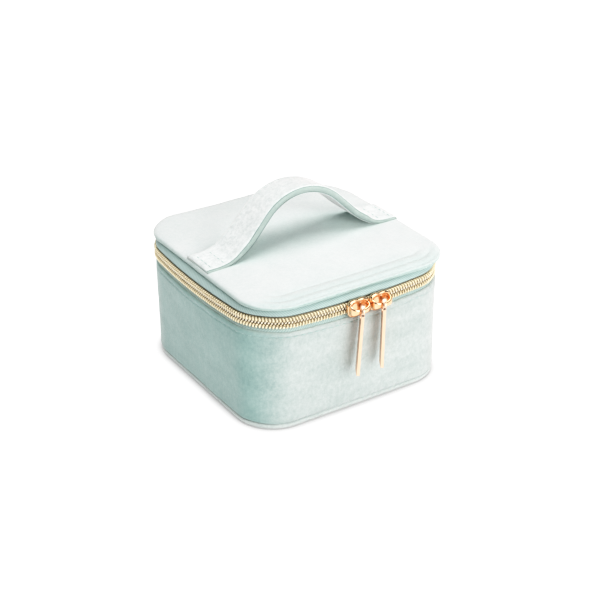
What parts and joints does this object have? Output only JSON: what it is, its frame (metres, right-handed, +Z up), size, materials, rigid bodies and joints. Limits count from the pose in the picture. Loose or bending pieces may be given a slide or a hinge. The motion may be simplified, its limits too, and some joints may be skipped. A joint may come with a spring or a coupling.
{
  "type": "travel jewelry case",
  "caption": "Small square velvet travel jewelry case with rounded corners, a zipped hinged lid, paired zip pulls, an arched carrying strap, ring rolls, compartments and a lid mirror.",
  "frame": {"origin": "centre of the flat underside, on the surface the case stands on", "axes": "+Z up, the zip sliders face -Y, the fabric hinge is at +Y, +X is to the right as seen from the front"},
  "size_m": [0.1024, 0.114, 0.0834],
  "materials": {
    "velvet": "short-pile velvet with a soft sheen",
    "velvet_lining": "short-pile lining velvet",
    "strap_velvet": "short-pile velvet with stitched edges",
    "webbing": "plain woven stiffener",
    "greyboard": "uncoated board",
    "foam": "soft open-cell foam",
    "zip_tape": "fine herringbone weave",
    "zip_coil": "metallised gold coil",
    "gold": "polished rose-gold plating",
    "gold_pull": "polished pale gold plating",
    "mirror": "polished"
  },
  "bodies": {
    "base": {"bottom_velvet": "velvet", "bottom_board": "greyboard", "wall_velvet": "velvet", "wall_board": "greyboard", "wall_liner": "velvet_lining", "floor_pad": "velvet_lining", "divider_long": "velvet_lining", "divider_front": "velvet_lining", "divider_rear": "velvet_lining", "ring_roll_1": "velvet_lining", "ring_roll_2": "velvet_lining", "ring_roll_3": "velvet_lining", "ring_roll_4": "velvet_lining", "ring_roll_5": "velvet_lining", "ring_roll_6": "velvet_lining", "lower_tape": "zip_tape", "lower_coil": "zip_coil", "hinge_velvet": "velvet", "hinge_liner": "velvet_lining"},
    "lid": {"lid_velvet": "velvet", "lid_foam": "foam", "lid_board": "greyboard", "lid_liner": "velvet_lining", "mirror": "mirror", "upper_tape": "zip_tape", "upper_coil": "zip_coil", "strap_velvet": "strap_velvet", "strap_core": "webbing", "strap_lining": "strap_velvet"},
    "slider_left": {"slider_left": "gold"},
    "slider_right": {"slider_right": "gold"},
    "pull_left": {"pull_left": "gold_pull"},
    "pull_right": {"pull_right": "gold_pull"}
  },
  "joints": [
    {"name": "lid_hinge", "type": "hinge", "parent": "base", "child": "lid", "pos_m": [0, 0.0524, 0.05175], "axis": [-1, 0, 0], "range_deg": [0, 110], "deforming": ["hinge_velvet", "hinge_liner"]},
    {"name": "slider_left_travel", "type": "slide", "parent": "base", "child": "slider_left", "axis": [-0.9999, 0.0138, 0], "range_m": [0, 0.022]},
    {"name": "slider_right_travel", "type": "slide", "parent": "base", "child": "slider_right", "axis": [0.9999, 0.0157, 0], "range_m": [0, 0.018]},
    {"name": "pull_left_swing", "type": "hinge", "parent": "slider_left", "child": "pull_left", "pos_m": [-0.0034, -0.0583, 0.0505], "axis": [-1, 0, 0], "range_deg": [-3, 160]},
    {"name": "pull_right_swing", "type": "hinge", "parent": "slider_right", "child": "pull_right", "pos_m": [0.0074, -0.0583, 0.0505], "axis": [-1, 0, 0], "range_deg": [-3, 160]}
  ]
}
